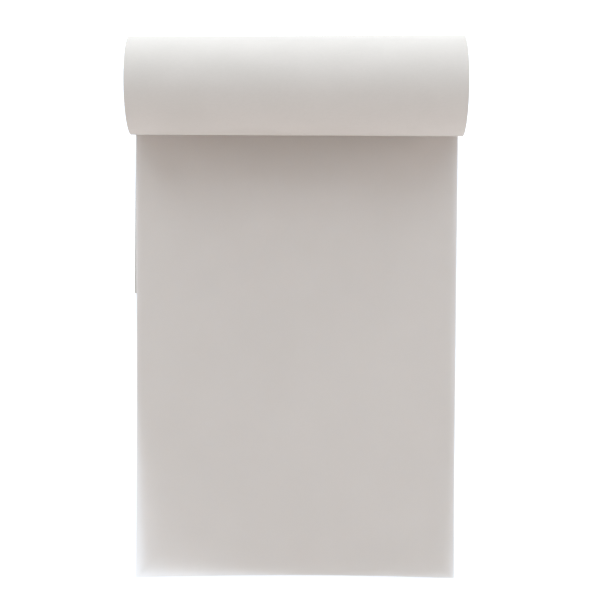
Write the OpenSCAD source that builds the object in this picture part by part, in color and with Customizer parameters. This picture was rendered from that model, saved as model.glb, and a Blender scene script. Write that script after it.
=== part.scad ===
// Tracing paper pad, gummed along its head, lying open on a table.
// The front cover is turned back over the head in a springy loop and tucked under the back board.
// Millimetres. X runs across the sheets, Y runs up the page to the head, Z is up from the table.

/* [Sheets] */
// Width of a sheet
sheet_w = 210; // [120:1:420]
// Length of a sheet from head to tail
sheet_l = 297; // [200:1:594]
// Thickness of the gummed block of sheets under the first leaf
block_t = 4.35; // [1:0.05:10]
// Thickness of one leaf of tracing paper
leaf_t = 0.1; // [0.05:0.01:0.3]

/* [Curled first leaf] */
// Height that the left tail corner has curled up
left_lift = 9; // [1:0.5:25]
// How far the left curl reaches up the side of the leaf
left_curl_up = 140; // [60:1:190]
// How far the left curl reaches along the tail of the leaf
left_curl_in = 135; // [60:1:200]
// Height that the right tail corner has curled up
right_lift = 5.5; // [1:0.5:25]
// How far the right curl reaches up the side of the leaf
right_curl_up = 90; // [60:1:190]
// How far the right curl reaches along the tail of the leaf
right_curl_in = 105; // [60:1:200]

/* [Back board] */
// Thickness of the grey back board
board_t = 1.2; // [0.6:0.1:3]

/* [Front cover] */
// Thickness of the cover card
cover_t = 0.35; // [0.2:0.05:0.8]
// Length of the cover from its gummed edge to its free edge
cover_l = 303; // [240:1:594]
// Outside diameter of the loop that the turned-back cover makes
loop_d = 62; // [45:0.1:75]
// Lean of the cover over the page where it leaves the head, in degrees from upright
cover_lean = 23.7; // [0:0.1:40]
// Skew of the tucked part under the board, in degrees
tuck_skew = 0.8; // [0.1:0.1:2]
// Straight foot of the loop before the skewed part starts
foot_l = 5; // [4:0.5:10]

/* [Head gum] */
// Thickness of the gum film brushed over the head
gum_t = 0.5; // [0.3:0.05:1.5]
// How far the gum runs up the back of the cover
gum_lip = 1.2; // [0.5:0.1:4]

/* [Hidden] */
$fn = 128;

// Levels above the table, from the tucked cover up to the page
board_z = cover_t;
block_z = board_z + board_t;
leaf_z = block_z + block_t;
page_z = leaf_z + leaf_t;

// The cover's loop in side view, measured back from the head and up from the table.
// The card rises in a straight line from the head's top edge and runs on into the loop.
loop_r = loop_d / 2;
cover_mid_r = loop_r - cover_t / 2;
loop_z = loop_r;
loop_back = (cover_mid_r - (loop_z - page_z) * sin(cover_lean)) / cos(cover_lean);
rise_l = (loop_z - page_z) * cos(cover_lean) - loop_back * sin(cover_lean);
loop_turn = 270 + cover_lean;
arc_l = cover_mid_r * loop_turn * PI / 180;
tuck_l = cover_l - rise_l - arc_l - foot_l;

// The origin lies under the middle of the whole length, loop included
head_y = (sheet_l - loop_back - loop_r) / 2;
tail_y = head_y - sheet_l;

// Mesh of the curled leaf
leaf_columns = 20;
leaf_rows = 14;
curl_reach = max(left_curl_up, right_curl_up);

// Turns a side view drawn back from the head into a solid as wide as the sheets
module across_head(width) {
    translate([0, head_y, 0])
        rotate([90, 0, 90])
            linear_extrude(height = width, center = true)
                children();
}

// A full sheet with its underside at a given height
module full_sheet(bottom, thickness) {
    translate([-sheet_w / 2, tail_y, bottom])
        cube([sheet_w, sheet_l, thickness]);
}

// Grey board that stiffens the pad
module back_board() {
    color([0.62, 0.58, 0.53])
        full_sheet(board_z, board_t);
}

// All the sheets that lie flat, gummed into one block
module sheet_block() {
    color([0.8, 0.79, 0.77])
        full_sheet(block_z, block_t);
}

// Height of the first leaf above the block, x and y measured from the left tail corner
function curl(reach) = pow(max(0, reach), 2);
function lift(x, y) =
    left_lift * curl(1 - x / left_curl_in - y / left_curl_up)
    + right_lift * curl(1 - (sheet_w - x) / right_curl_in - y / right_curl_up);

// Places up the leaf of the mesh rows: close together in the curl, then one at the head
function row_y(j) = j < leaf_rows ? curl_reach * j / (leaf_rows - 1) : sheet_l;
function leaf_point(i, j, height) =
    let (x = sheet_w * i / leaf_columns, y = row_y(j))
    [x - sheet_w / 2, tail_y + y, leaf_z + lift(x, y) + height];

// The uppermost sheet, whose tail corners have curled off the block
module first_leaf() {
    across = leaf_columns + 1;
    layer = across * (leaf_rows + 1);
    points = [
        for (height = [0, leaf_t], j = [0:leaf_rows], i = [0:leaf_columns]) leaf_point(i, j, height)
    ];
    cells = [for (j = [0:leaf_rows - 1], i = [0:leaf_columns - 1]) j * across + i];
    under = [
        for (c = cells, corner = [[0, 1, across + 1], [0, across + 1, across]])
            [for (k = corner) c + k]
    ];
    over = [for (face = under) [for (k = [2, 1, 0]) face[k] + layer]];
    rim = concat(
        [for (i = [0:leaf_columns]) i],
        [for (j = [1:leaf_rows]) j * across + leaf_columns],
        [for (i = [1:leaf_columns]) layer - 1 - i],
        [for (j = [1:leaf_rows - 1]) (leaf_rows - j) * across]
    );
    edge = [
        for (k = [0:len(rim) - 1])
            let (a = rim[k], b = rim[(k + 1) % len(rim)])
            each [[a, b + layer, b], [a, a + layer, b + layer]]
    ];
    color([0.84, 0.83, 0.81])
        polyhedron(points = points, faces = concat(under, over, edge));
}

// A point beside the cover's rise: a distance along it from the head and a distance behind its middle
function beside_rise(along, behind) = [
    behind * cos(cover_lean) - along * sin(cover_lean),
    page_z + along * cos(cover_lean) + behind * sin(cover_lean)
];

// Where a face of the rise, a distance behind its middle, meets the page's level
function rise_foot(behind) = [behind / cos(cover_lean), page_z];

// Straight stretch of the cover from the head up to the loop, standing on the head's top edge
module cover_rise() {
    polygon([
        rise_foot(-cover_t / 2),
        rise_foot(cover_t / 2),
        beside_rise(rise_l, cover_t / 2),
        beside_rise(rise_l, -cover_t / 2)
    ]);
}

// Round stretch of the cover, open at the front between the rise and the table
module cover_loop() {
    open_from = 180 + cover_lean;
    reach = 2 * loop_r;
    translate([loop_back, loop_z])
        difference() {
            circle(r = loop_r);
            circle(r = loop_r - cover_t);
            polygon([
                [0, 0],
                for (turn = [open_from, (open_from + 270) / 2, 270]) reach * [cos(turn), sin(turn)]
            ]);
        }
}

// Flat stretch of the cover on the table, straight under the loop
module cover_foot() {
    translate([loop_back - foot_l, 0])
        square([foot_l, cover_t]);
}

// Flat stretch under the back board, turned a little so that its left edge peeps out
module cover_tuck() {
    under_foot = foot_l / 2;
    translate([0, head_y + loop_back - foot_l, 0])
        rotate([0, 0, -tuck_skew])
            translate([-sheet_w / 2, -tuck_l, 0])
                cube([sheet_w, tuck_l + under_foot, cover_t]);
}

// Plain card cover, one piece from the gum to its free edge
module front_cover() {
    color([0.79, 0.77, 0.75]) {
        across_head(sheet_w) {
            cover_rise();
            cover_loop();
            cover_foot();
        }
        cover_tuck();
    }
}

// Padding gum over the cut head, with a lip up the back of the cover
module head_gum() {
    color([0.9, 0.89, 0.85])
        across_head(sheet_w)
            polygon([
                [0, board_z],
                [gum_t, board_z],
                [gum_t, page_z],
                beside_rise(gum_lip, cover_t / 2),
                rise_foot(cover_t / 2),
                [0, page_z]
            ]);
}

back_board();
sheet_block();
first_leaf();
front_cover();
head_gum();
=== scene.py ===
import math

import bpy
import numpy as np
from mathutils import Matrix, Vector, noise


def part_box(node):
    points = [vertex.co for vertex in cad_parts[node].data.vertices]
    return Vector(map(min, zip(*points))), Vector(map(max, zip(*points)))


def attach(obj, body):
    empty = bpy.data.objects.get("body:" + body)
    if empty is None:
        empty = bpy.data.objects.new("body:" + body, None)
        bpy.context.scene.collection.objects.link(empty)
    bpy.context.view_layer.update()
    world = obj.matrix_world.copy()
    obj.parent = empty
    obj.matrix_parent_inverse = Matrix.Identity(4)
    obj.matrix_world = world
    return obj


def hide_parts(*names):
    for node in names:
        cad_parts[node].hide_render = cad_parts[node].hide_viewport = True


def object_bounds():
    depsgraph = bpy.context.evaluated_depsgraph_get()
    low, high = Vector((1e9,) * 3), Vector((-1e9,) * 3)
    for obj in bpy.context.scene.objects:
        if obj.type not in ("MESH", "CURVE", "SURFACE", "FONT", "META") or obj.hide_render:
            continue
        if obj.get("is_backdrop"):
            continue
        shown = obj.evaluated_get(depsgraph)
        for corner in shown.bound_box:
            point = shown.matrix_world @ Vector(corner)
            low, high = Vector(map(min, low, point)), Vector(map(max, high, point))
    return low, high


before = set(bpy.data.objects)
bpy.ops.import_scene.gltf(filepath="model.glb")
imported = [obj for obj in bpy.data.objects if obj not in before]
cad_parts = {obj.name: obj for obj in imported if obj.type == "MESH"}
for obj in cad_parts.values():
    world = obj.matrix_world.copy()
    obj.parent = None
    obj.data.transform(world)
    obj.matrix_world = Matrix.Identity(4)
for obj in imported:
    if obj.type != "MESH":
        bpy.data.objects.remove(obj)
cad_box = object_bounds()


# Back board: one stiff rectangle of grey board made from pulped waste paper.
# It is cut with the sheets, so the knife has rounded its edges over a little,
# and it lies on the tucked end of the cover.
mm = 0.001
board_low, board_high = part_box("back_board")
board_crush = 0.14 * mm
board_rough_cut, board_rough_wave = 0.03 * mm, 9 * mm
board_across, board_along = 70, 100
board_dark, board_pale = (0.19, 0.172, 0.15), (0.36, 0.335, 0.30)
board_speck = (0.12, 0.105, 0.09)
crease_angle = math.radians(40)


def wander(x, y, seed, size):
    """A smooth uneven value from -1 to 1 at a place, size being the width of its waves."""
    seed_gap = 7.31
    return noise.noise(Vector((x / size, y / size, seed * seed_gap)))


def cut_stack(low, high, rings, across, along):
    """Points and faces of a closed pile of cut sheets, flush at the head.

    Each ring is a pair of functions of a place on the sheet: its height there, and how far the cut
    lies inside the rectangle on the sides and at the tail.
    """
    span = high - low

    def place(i, j):
        return low.x + span.x * i / across, low.y + span.y * j / along

    rim = [(i, 0) for i in range(across)]
    rim += [(across, j) for j in range(along)]
    rim += [(i, along) for i in range(across, 0, -1)]
    rim += [(0, j) for j in range(along, 0, -1)]
    count = len(rim)
    points = []
    faces = []
    for level, (height, inset) in enumerate(rings):
        for k, (i, j) in enumerate(rim):
            x, y = place(i, j)
            side, tail = inset(x, y)
            points.append((x + side * ((i == 0) - (i == across)), y + tail * (j == 0), height(x, y)))
            if level:
                a, b = level * count + k, level * count + (k + 1) % count
                faces.append((a - count, b - count, b, a))
    top = len(points) - count
    for start, turn, (height, _) in ((0, -1, rings[0]), (top, 1, rings[-1])):
        cell = {corner: start + k for k, corner in enumerate(rim)}
        for j in range(1, along):
            for i in range(1, across):
                cell[i, j] = len(points)
                points.append((*place(i, j), height(*place(i, j))))
        for j in range(along):
            for i in range(across):
                corners = cell[i, j], cell[i + 1, j], cell[i + 1, j + 1], cell[i, j + 1]
                faces.append(corners[::turn])
    return points, faces


def lay_piece(name, points, faces, finish, slot, node):
    """A finished piece of the pad, built where a node lies and put on the root body, with that node
    hidden.
    """
    mesh = bpy.data.meshes.new(name)
    mesh.from_pydata([tuple(p) for p in points], [], faces)
    mesh.update()
    mesh.shade_smooth()
    mesh.set_sharp_from_angle(angle=crease_angle)
    mesh.materials.append(finish)
    piece = bpy.data.objects.new(name, mesh)
    bpy.context.scene.collection.objects.link(piece)
    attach(piece, "root")
    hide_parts(node)


class Wire:
    """A socket in a material. Sums and products of wires add Math nodes."""

    def __init__(self, tree, socket=None):
        self.tree = tree
        self.socket = socket

    def node(self, kind, settings=None, sockets=None, out=0):
        """A node of any kind: its settings first, then a value or a wire for each socket."""
        made = self.tree.nodes.new(kind)
        for key, value in (settings or {}).items():
            setattr(made, key, value)
        for key, value in (sockets or {}).items():
            if isinstance(value, Wire):
                self.tree.links.new(value.socket, made.inputs[key])
            else:
                made.inputs[key].default_value = value
        return Wire(self.tree, made.outputs[out] if made.outputs else None)

    def math(self, operation, a, b):
        return self.node("ShaderNodeMath", {"operation": operation}, {0: a, 1: b})

    def __add__(self, other):
        return self.math("ADD", self, other)

    def __radd__(self, other):
        return self.math("ADD", other, self)

    def __mul__(self, other):
        return self.math("MULTIPLY", self, other)

    def __rmul__(self, other):
        return self.math("MULTIPLY", other, self)

    def step(self, low, high):
        """0 below low and 1 above high, rising smoothly between them."""
        return self.node(
            "ShaderNodeMapRange",
            {"interpolation_type": "SMOOTHSTEP"},
            {"Value": self, "From Min": low, "From Max": high},
        )

    def between(self, first, second):
        """A colour between two others, as far along as this wire says."""
        first, second = (c if isinstance(c, Wire) else (*c, 1.0) for c in (first, second))
        return self.node("ShaderNodeMix", {"data_type": "RGBA"}, {0: self, 6: first, 7: second}, out=2)


def new_finish(name):
    """An empty material and a wire to build it from."""
    finish = bpy.data.materials.new(name)
    finish.use_nodes = True
    finish.node_tree.nodes.clear()
    return finish, Wire(finish.node_tree)


def show(wire, shader):
    """Puts a shader on the surface."""
    wire.node("ShaderNodeOutputMaterial", None, {"Surface": shader})


def cloud(wire, waves, detail=3.0, stretch=(1.0, 1.0, 1.0)):
    """Soft unevenness with so many waves to the millimetre, closer along a stretched axis."""
    place = wire.node("ShaderNodeTexCoord", out=3)
    closer = tuple(waves * s / mm for s in stretch)
    place = wire.node("ShaderNodeVectorMath", {"operation": "MULTIPLY"}, {0: place, 1: closer})
    return wire.node("ShaderNodeTexNoise", None, {"Vector": place, "Scale": 1.0, "Detail": detail})


def relief(wire, height, depth, strength):
    """A bumped normal from a height and its depth in millimetres."""
    bump = {"Strength": strength, "Distance": depth * mm, "Height": height}
    return wire.node("ShaderNodeBump", None, bump)


def grey_board_finish():
    """Pulped grey board: dull, with pale and dark fibres, specks, and plies on its cut edge."""
    finish, w = new_finish("grey_board")
    pulp = cloud(w, 0.35, 5.0)
    fibres = cloud(w, 1.1, 4.0, (0.5, 3.0, 1.0))
    specks = cloud(w, 2.6, 1.0).step(0.66, 0.74)
    plies = cloud(w, 1.0, 2.0, (0.02, 0.02, 6.0))
    tone = pulp * 0.5 + fibres * 0.3 + plies * 0.2
    colour = tone.between(board_dark, board_pale)
    colour = (specks * 0.5).between(colour, board_speck)
    normal = relief(w, fibres * 0.6 + pulp * 0.4 + plies * 0.5, 0.05, 0.35)
    board = {"Base Color": colour, "Roughness": 0.92, "Specular IOR Level": 0.25, "Normal": normal}
    show(w, w.node("ShaderNodeBsdfPrincipled", None, board))
    return finish


def board_rings():
    """Rings up the board's edge, rounded over at the bottom and the top."""
    steps = 4
    bottom = [(board_low.z, 1, turn / steps) for turn in range(steps + 1)]
    top = [(board_high.z, -1, turn / steps) for turn in range(steps, -1, -1)]
    for level, way, turn in bottom + top:
        angle = turn * math.pi / 2
        depth = board_crush * (1 - math.sin(angle))
        level += way * board_crush * (1 - math.cos(angle))

        def height(x, y, level=level):
            return level

        def inset(x, y, depth=depth):
            return (depth + board_rough_cut * (1 + wander(x, y, 1, board_rough_wave)),) * 2

        yield height, inset


board_mesh = cut_stack(board_low, board_high, list(board_rings()), board_across, board_along)
lay_piece("back_board_card", *board_mesh, grey_board_finish(), "grey_board", "back_board")


# Sheet block: some fifty sheets of thin, smooth, milky tracing paper, knocked up square and trimmed.
# Each sheet's cut edge lies a hair in or out of its neighbours, with a slit between them, and the upper
# sheets fan open at the right tail corner. At the head they are flush, because the gum holds them there.
block_low, block_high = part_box("sheet_block")
sheet_count = 54
sheet_t = (block_high.z - block_low.z) / sheet_count
sheet_play = 0.16 * mm
sheet_slip_step, sheet_slip_tracks = 0.37, (0.2, 5.2)
sheet_drift, sheet_drift_wave = 0.25, 60 * mm
slit_depth = 0.10 * mm
slit_share = 0.12
fan_lift = 4.2 * mm
fan_gather = 4
right_curl_up, right_curl_in = 90 * mm, 105 * mm
pile_across, pile_along = 60, 84
pile_dark, pile_pale = (0.58, 0.545, 0.515), (0.62, 0.58, 0.55)


def right_curl(x, y):
    """How much of the right tail corner's lift a place on a sheet has."""
    return max(0.0, 1 - (block_high.x - x) / right_curl_in - (y - block_low.y) / right_curl_up) ** 2


def sheet_rings():
    """Rings up the pile: the bottom and top of each sheet's cut edge, and the slit under it."""
    for sheet in range(sheet_count):
        slips = [0.5 + 0.5 * wander(sheet_slip_step * sheet, track, 3, 1.0) for track in sheet_slip_tracks]

        def cut(x, y, sheet=sheet, slips=slips):
            drift = sheet_drift * wander(x, y, 11 + sheet, sheet_drift_wave)
            return [sheet_play * max(0.0, slip + drift) for slip in slips]

        def slit(x, y, cut=cut):
            return [inset + slit_depth for inset in cut(x, y)]

        def level(part, sheet=sheet):
            def height(x, y):
                fan = fan_lift * ((sheet + part) / sheet_count) ** fan_gather
                return block_low.z + (sheet + part) * sheet_t + fan * right_curl(x, y)

            return height

        if sheet:
            yield level(0), slit
        yield level(slit_share), cut
        yield level(1 - slit_share * (sheet < sheet_count - 1)), cut


def milky(wire, dark, light):
    """Tracing paper's cloudy look: soft patches and faint fibres that change its tone a little."""
    patches = cloud(wire, 0.045)
    fibres = cloud(wire, 1.4, 3.0, (1.0, 0.35, 1.0))
    tone = patches * 0.65 + fibres * 0.35
    return tone.step(0.25, 0.75).between(dark, light), fibres


def pile_finish():
    """The pile's cut edges: milky paper that light soaks into."""
    finish, w = new_finish("tracing_paper_pile")
    colour, fibres = milky(w, pile_dark, pile_pale)
    paper = {
        "Base Color": colour,
        "Roughness": 0.6,
        "Specular IOR Level": 0.3,
        "Subsurface Weight": 1.0,
        "Subsurface Radius": (1.0, 0.95, 0.9),
        "Subsurface Scale": 4.0 * mm,
        "Normal": relief(w, fibres, 0.02, 0.25),
    }
    show(w, w.node("ShaderNodeBsdfPrincipled", None, paper))
    return finish


pile_mesh = cut_stack(block_low, block_high, list(sheet_rings()), pile_across, pile_along)
lay_piece("sheet_pile", *pile_mesh, pile_finish(), "tracing_paper", "sheet_block")


# First leaf: the uppermost sheet, the same thin milky paper, gummed only at the head.
# Its tail corners have curled up off the pile, the left one more than the right, and its free edges
# turn up a little more, so light gets in under it there and shows through.
leaf_low, leaf_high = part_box("first_leaf")
leaf_w = leaf_high.x - leaf_low.x
leaf_t, leaf_room = 0.08 * mm, 0.1 * mm
page_z = block_high.z + leaf_room
left_curl_up, left_curl_in = 140 * mm, 135 * mm
right_lift = 5.5 * mm
edge_lift, edge_reach = 0.5 * mm, 8 * mm
corner_edge_lift, corner_edge_reach = 2.6 * mm, 15 * mm
right_edge_lift, right_edge_reach = 0.9 * mm, 11 * mm
left_lift = leaf_high.z - page_z - edge_lift - corner_edge_lift
edge_wave, edge_wave_l = 0.2, 40 * mm
gum_hold = 30 * mm
leaf_columns, leaf_rows = 105, 149
leaf_dark, leaf_pale = (0.97, 0.782, 0.645), (1.0, 0.806, 0.664)
leaf_glow, leaf_glow_share = (0.844, 0.938, 1.0, 1.0), 0.64


def leaf_height(x, y):
    """Height of the leaf's face: its curled tail corners, and its free edges a hair off the pile."""
    left = max(0.0, 1 - (x - leaf_low.x) / left_curl_in - (y - leaf_low.y) / left_curl_up)
    inward = min(x - leaf_low.x, y - leaf_low.y)
    edge = edge_lift * max(0.0, 1 - inward / edge_reach) ** 2
    edge += corner_edge_lift * (left * max(0.0, 1 - inward / corner_edge_reach)) ** 2
    right_edge = right_edge_lift * max(0.0, 1 - (leaf_high.x - x) / right_edge_reach) ** 2
    wave = 1 - edge_wave + edge_wave * wander(x, y, 21, edge_wave_l)
    free = min(1.0, (leaf_high.y - y) / gum_hold) * wave
    return page_z + left_lift * left**2 + right_lift * right_curl(x, y) + free * max(edge, right_edge)


def two_faced(upper, lower):
    """Points and faces of a thin sheet, from grids of points on its two faces."""
    rows, columns = len(upper), len(upper[0])
    layer = rows * columns
    points = [p for row in upper for p in row] + [p for row in lower for p in row]
    faces = []
    for j in range(rows - 1):
        for i in range(columns - 1):
            a = j * columns + i
            cell = a, a + 1, a + 1 + columns, a + columns
            faces += [cell, tuple(layer + k for k in reversed(cell))]
    rim = list(range(columns))
    rim += [j * columns + columns - 1 for j in range(1, rows)]
    rim += [layer - 1 - i for i in range(1, columns)]
    rim += [j * columns for j in range(rows - 2, 0, -1)]
    faces += [(b, a, a + layer, b + layer) for a, b in zip(rim, rim[1:] + rim[:1])]
    return points, faces


def leaf_finish():
    """One leaf: milky and smooth, with a faint sheen, passing more light than it sends back."""
    finish, w = new_finish("tracing_paper_leaf")
    colour, fibres = milky(w, leaf_dark, leaf_pale)
    grain = cloud(w, 3.5, 2.0)
    paper = {
        "Base Color": colour,
        "Roughness": 0.5 + grain * 0.12,
        "Specular IOR Level": 0.2,
        "Normal": relief(w, fibres * 0.5 + grain * 0.5, 0.02, 0.12),
    }
    face = w.node("ShaderNodeBsdfPrincipled", None, paper)
    glow = w.node("ShaderNodeBsdfTranslucent", None, {"Color": leaf_glow})
    show(w, w.node("ShaderNodeMixShader", None, {0: leaf_glow_share, 1: face, 2: glow}))
    return finish


leaf_upper = []
leaf_lower = []
for y in np.linspace(leaf_low.y, leaf_high.y, leaf_rows):
    row = [(x, y, leaf_height(x, y)) for x in np.linspace(leaf_low.x, leaf_high.x, leaf_columns)]
    leaf_upper.append(row)
    leaf_lower.append([(x, y, z - leaf_t) for x, y, z in row])
leaf_mesh = two_faced(leaf_upper, leaf_lower)
lay_piece("curled_leaf", *leaf_mesh, leaf_finish(), "tracing_paper", "first_leaf")


# Front cover: one piece of plain thin card, held by its edge in the gum along the head.
# It is turned back over the head in a springy loop, a little wider at the right,
# and its free end is tucked under the board, askew, so that its left edge peeps out by the page.
_, cover_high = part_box("front_cover")
head_y = leaf_high.y
cover_t = 0.35 * mm
cover_w, cover_l = leaf_w, 303 * mm
loop_r = cover_high.z / 2
loop_flare = 0.41 * mm
loop_back = cover_high.y - loop_r - head_y
loop_up = loop_r - page_z
head_to_middle = math.hypot(loop_up, loop_back)
cover_lean = math.atan2(loop_up, loop_back) - math.acos((loop_r - cover_t / 2) / head_to_middle)
loop_drift = 0.75 * mm
loop_l = 172 * mm
tuck_skew = math.radians(0.5)
tuck_turn = 12 * mm
cover_columns, cover_rows = 61, 261
card_dark, card_pale = (0.53, 0.488, 0.444), (0.567, 0.521, 0.476)


def cover_side_view(along, radius, behind):
    """A point in side view, back from the head and up from the table: a distance along the card
    from the gum, for a loop of some radius, and a distance out of the card's middle."""
    middle_r = radius - cover_t / 2
    rise = radius - page_z
    back = (middle_r - rise * math.sin(cover_lean)) / math.cos(cover_lean)
    rise_l = rise * math.cos(cover_lean) - back * math.sin(cover_lean)
    arc_l = middle_r * (1.5 * math.pi + cover_lean)
    flat = max(0.0, along - rise_l - arc_l)
    if along < rise_l:
        along = max(along, behind * math.tan(cover_lean))
        out = math.pi + cover_lean
        y = -along * math.sin(cover_lean)
        z = page_z + along * math.cos(cover_lean)
    else:
        turned = min(along - rise_l, arc_l) / middle_r
        out = math.pi + cover_lean - turned
        y = back + middle_r * math.cos(out) - flat
        z = radius + middle_r * math.sin(out)
    return y + behind * math.cos(out), z + behind * math.sin(out), flat


def cover_point(across, along, behind):
    """A point of the cover: a distance across from its middle, along it from the gum, and out of it."""
    radius = loop_r + loop_flare * 2 * across / cover_w
    y, z, flat = cover_side_view(along, radius, behind)
    skew = tuck_skew * min(1.0, flat / tuck_turn)
    slide = loop_drift * min(1.0, along / loop_l) ** 2 + flat * math.sin(skew)
    return across - slide, head_y + y - across * math.sin(skew), z


def cover_finish():
    """Uncoated card: dull and warm, with fine fibres."""
    finish, w = new_finish("cover_card")
    patches = cloud(w, 0.03)
    fibres = cloud(w, 1.2, 4.0, (0.35, 1.0, 1.0))
    grain = cloud(w, 4.0, 2.0)
    tone = patches * 0.5 + fibres * 0.3 + grain * 0.2
    colour = tone.step(0.25, 0.75).between(card_dark, card_pale)
    card = {
        "Base Color": colour,
        "Roughness": 0.68 + grain * 0.12,
        "Specular IOR Level": 0.08,
        "Normal": relief(w, fibres * 0.6 + grain * 0.4, 0.03, 0.15),
    }
    show(w, w.node("ShaderNodeBsdfPrincipled", None, card))
    return finish


cover_outer = []
cover_inner = []
for along in np.linspace(0, cover_l, cover_rows):
    places = np.linspace(-cover_w / 2, cover_w / 2, cover_columns)
    cover_outer.append([cover_point(across, along, cover_t / 2) for across in places])
    cover_inner.append([cover_point(across, along, -cover_t / 2) for across in places])
cover_mesh = two_faced(cover_inner, cover_outer)
lay_piece("turned_cover", *cover_mesh, cover_finish(), "cover_card", "front_cover")


# Head gum: padding gum brushed along the cut head and left to dry as a rubbery film.
# It holds the sheets and the board by their edges, and a thin lip runs up the back of the cover.
gum_low, gum_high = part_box("head_gum")
gum_t = gum_high.y - head_y
gum_even, gum_wave = 0.85, 6 * mm
gum_bulge = 0.12 * gum_t
gum_columns, gum_film_steps, gum_lip_steps = 141, 9, 4
gum_dark, gum_pale = (0.74, 0.72, 0.66), (0.84, 0.83, 0.78)


def gum_finish():
    """Dried gum: a milky film with brush marks and a soft shine."""
    finish, w = new_finish("padding_gum")
    brush = cloud(w, 1.5, 3.0, (0.08, 1.0, 1.6))
    colour = brush.between(gum_dark, gum_pale)
    gum = {
        "Base Color": colour,
        "Roughness": 0.28 + brush * 0.25,
        "Specular IOR Level": 0.5,
        "Coat Weight": 0.2,
        "Normal": relief(w, brush, 0.08, 0.5),
    }
    show(w, w.node("ShaderNodeBsdfPrincipled", None, gum))
    return finish


def gum_section(x):
    """The film's outline in side view at a place across the head, back from it and up."""
    lip_y, lip_z, _ = cover_side_view((gum_high.z - page_z) / math.cos(cover_lean), loop_r, -cover_t / 2)
    heel_y = cover_t / 2 / math.cos(cover_lean)
    outline = [(0.0, gum_low.z)]
    for share in np.linspace(0, 1, gum_film_steps):
        z = gum_low.z + (page_z - gum_low.z) * share
        uneven = gum_even + (1 - gum_even) * wander(x, 3 * z, 5, gum_wave)
        outline.append((gum_t * uneven, z))
    start_y = gum_t * gum_even
    for share in np.linspace(1 / gum_lip_steps, 1, gum_lip_steps):
        bulge = gum_bulge * math.sin(math.pi * share)
        outline.append((start_y + (lip_y - start_y) * share + bulge, page_z + (lip_z - page_z) * share))
    return outline + [(heel_y, page_z), (0.0, page_z)]


gum_points = []
gum_faces = []
for k, x in enumerate(np.linspace(gum_low.x, gum_high.x, gum_columns)):
    section = gum_section(x)
    ring = len(section)
    gum_points += [(x, head_y + y, z) for y, z in section]
    if k:
        for a in range(ring):
            b = (a + 1) % ring
            last, this = (k - 1) * ring, k * ring
            gum_faces.append((last + a, this + a, this + b, last + b))
gum_faces.append(tuple(range(ring)))
gum_faces.append(tuple(reversed(range(len(gum_points) - ring, len(gum_points)))))
lay_piece("brushed_gum", gum_points, gum_faces, gum_finish(), "padding_gum", "head_gum")


# Table: a plain white sweep that the pad lies on, curving up all round to a low wall.
# Soft daylight comes from behind and above, low lamps stand at the front and the sides,
# and the camera looks almost straight down.
sweep_inner, sweep_reach, sweep_bend, sweep_wall = 0.35, 2.3, 0.7, 1.0
sweep_sides, sweep_bend_steps = 72, 9
near_reach, far_reach = 0.5, 1.0
near_glow, far_glow, sweep_glow = (0.70, 0.80, 0.93), (1.0, 1.0, 1.0), 0.55
box_reach = 1.8
room_light = 0.42


def table_finish():
    """White sweep, lit enough to look plain white, with a cooler light round the pad."""
    finish, w = new_finish("white_sweep")
    place = w.node("ShaderNodeTexCoord", out=3)
    away = w.node("ShaderNodeVectorMath", {"operation": "LENGTH"}, {0: place}, out=1)
    sweep = {
        "Base Color": (0.9, 0.9, 0.9, 1.0),
        "Roughness": 0.9,
        "Specular IOR Level": 0.1,
        "Emission Color": away.step(near_reach, far_reach).between(near_glow, far_glow),
        "Emission Strength": sweep_glow,
    }
    show(w, w.node("ShaderNodeBsdfPrincipled", None, sweep))
    return finish


sweep_profile = [(sweep_inner, 0.0), (sweep_reach, 0.0)]
for turn in np.linspace(0, math.pi / 2, sweep_bend_steps + 1)[1:]:
    sweep_profile.append((sweep_reach + sweep_bend * math.sin(turn), sweep_bend * (1 - math.cos(turn))))
sweep_profile.append((sweep_reach + sweep_bend, sweep_wall))
sweep_points = []
sweep_faces = [tuple(range(sweep_sides))]
for level, (radius, z) in enumerate(sweep_profile):
    for k in range(sweep_sides):
        turn = 2 * math.pi * k / sweep_sides
        sweep_points.append((radius * math.cos(turn), radius * math.sin(turn), z))
        if level:
            a, b = level * sweep_sides + k, level * sweep_sides + (k + 1) % sweep_sides
            sweep_faces.append((a - sweep_sides, a, b, b - sweep_sides))
table_mesh = bpy.data.meshes.new("table")
table_mesh.from_pydata(sweep_points, [], sweep_faces)
table_mesh.shade_smooth()
table_mesh.materials.append(table_finish())
table = bpy.data.objects.new("table", table_mesh)
bpy.context.scene.collection.objects.link(table)
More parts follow.
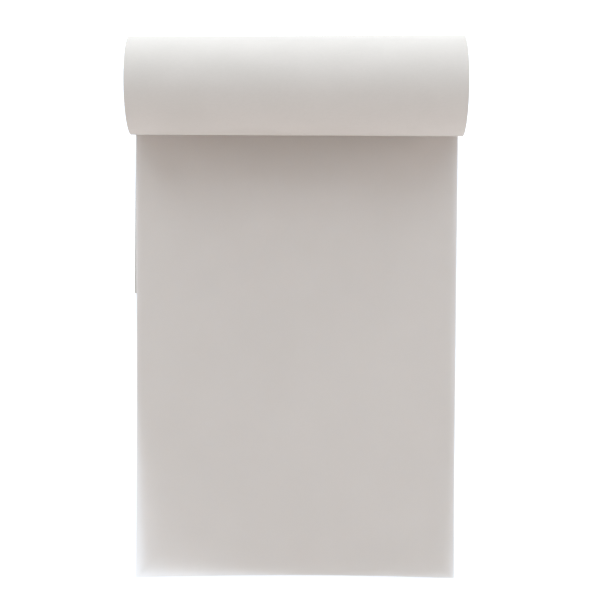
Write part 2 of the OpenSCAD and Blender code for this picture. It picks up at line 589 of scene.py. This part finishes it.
table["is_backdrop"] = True


def soft_box(name, bearing, height, size, colour, watts):
    """A soft box aimed at the pad: its bearing in degrees from straight behind the head, its height
    in degrees over the table, its width and height, its colour and its strength."""
    way, climb = math.radians(bearing), math.radians(height)
    place = Vector((math.sin(way) * math.cos(climb), math.cos(way) * math.cos(climb), math.sin(climb)))
    lamp = bpy.data.lights.new(name, "AREA")
    lamp.shape = "RECTANGLE"
    lamp.size, lamp.size_y = size
    lamp.energy = watts
    lamp.color = colour
    box = bpy.data.objects.new(name, lamp)
    box.location = box_reach * place
    box.rotation_mode = "QUATERNION"
    box.rotation_quaternion = (-place).to_track_quat("-Z", "Y")
    bpy.context.scene.collection.objects.link(box)


window_light = (0.76, 0.89, 1.00)
lamp_light = (0.97, 0.94, 1.00)
soft_box("window_low", 0, 15, (2.4, 0.4), window_light, 12.1)
soft_box("window_middle", 0, 30, (2.4, 0.5), window_light, 7.2)
soft_box("window_high", 0, 45, (2.4, 0.6), window_light, 10.1)
soft_box("skylight", 0, 65, (2.4, 0.6), window_light, 2.6)
soft_box("front_low", 180, 8, (2.4, 0.4), lamp_light, 5.1)
soft_box("left_low", 270, 15, (1.6, 0.6), lamp_light, 15.6)
soft_box("right_low", 90, 15, (1.6, 0.6), lamp_light, 22.2)

world = bpy.data.worlds.new("studio")
world.use_nodes = True
world.node_tree.nodes["Background"].inputs["Color"].default_value = (1.0, 1.0, 1.0, 1.0)
world.node_tree.nodes["Background"].inputs["Strength"].default_value = room_light
bpy.context.scene.world = world
bpy.context.scene.view_settings.view_transform = "Standard"

# Camera fitted to the photograph: its height over the table, its place over the page and its lens
photo_side = 600
focal_px = 1250.8
sensor = 36.0
camera_right, camera_below_head, camera_up = 8.25 * mm, 70.86 * mm, 826.41 * mm
camera_turn = -0.0524, 0.00704, 0.0047
camera_data = bpy.data.cameras.new("camera")
camera_data.sensor_width = sensor
camera_data.lens = sensor * focal_px / photo_side
camera = bpy.data.objects.new("camera", camera_data)
camera.location = camera_right, head_y - camera_below_head, camera_up
camera.rotation_mode = "ZYX"
camera.rotation_euler = camera_turn
bpy.context.scene.collection.objects.link(camera)
bpy.context.scene.camera = camera

visual_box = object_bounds()
boxes = {"cad": cad_box, "visual": visual_box}
{name: [list(corner) for corner in corners] for name, corners in boxes.items()}
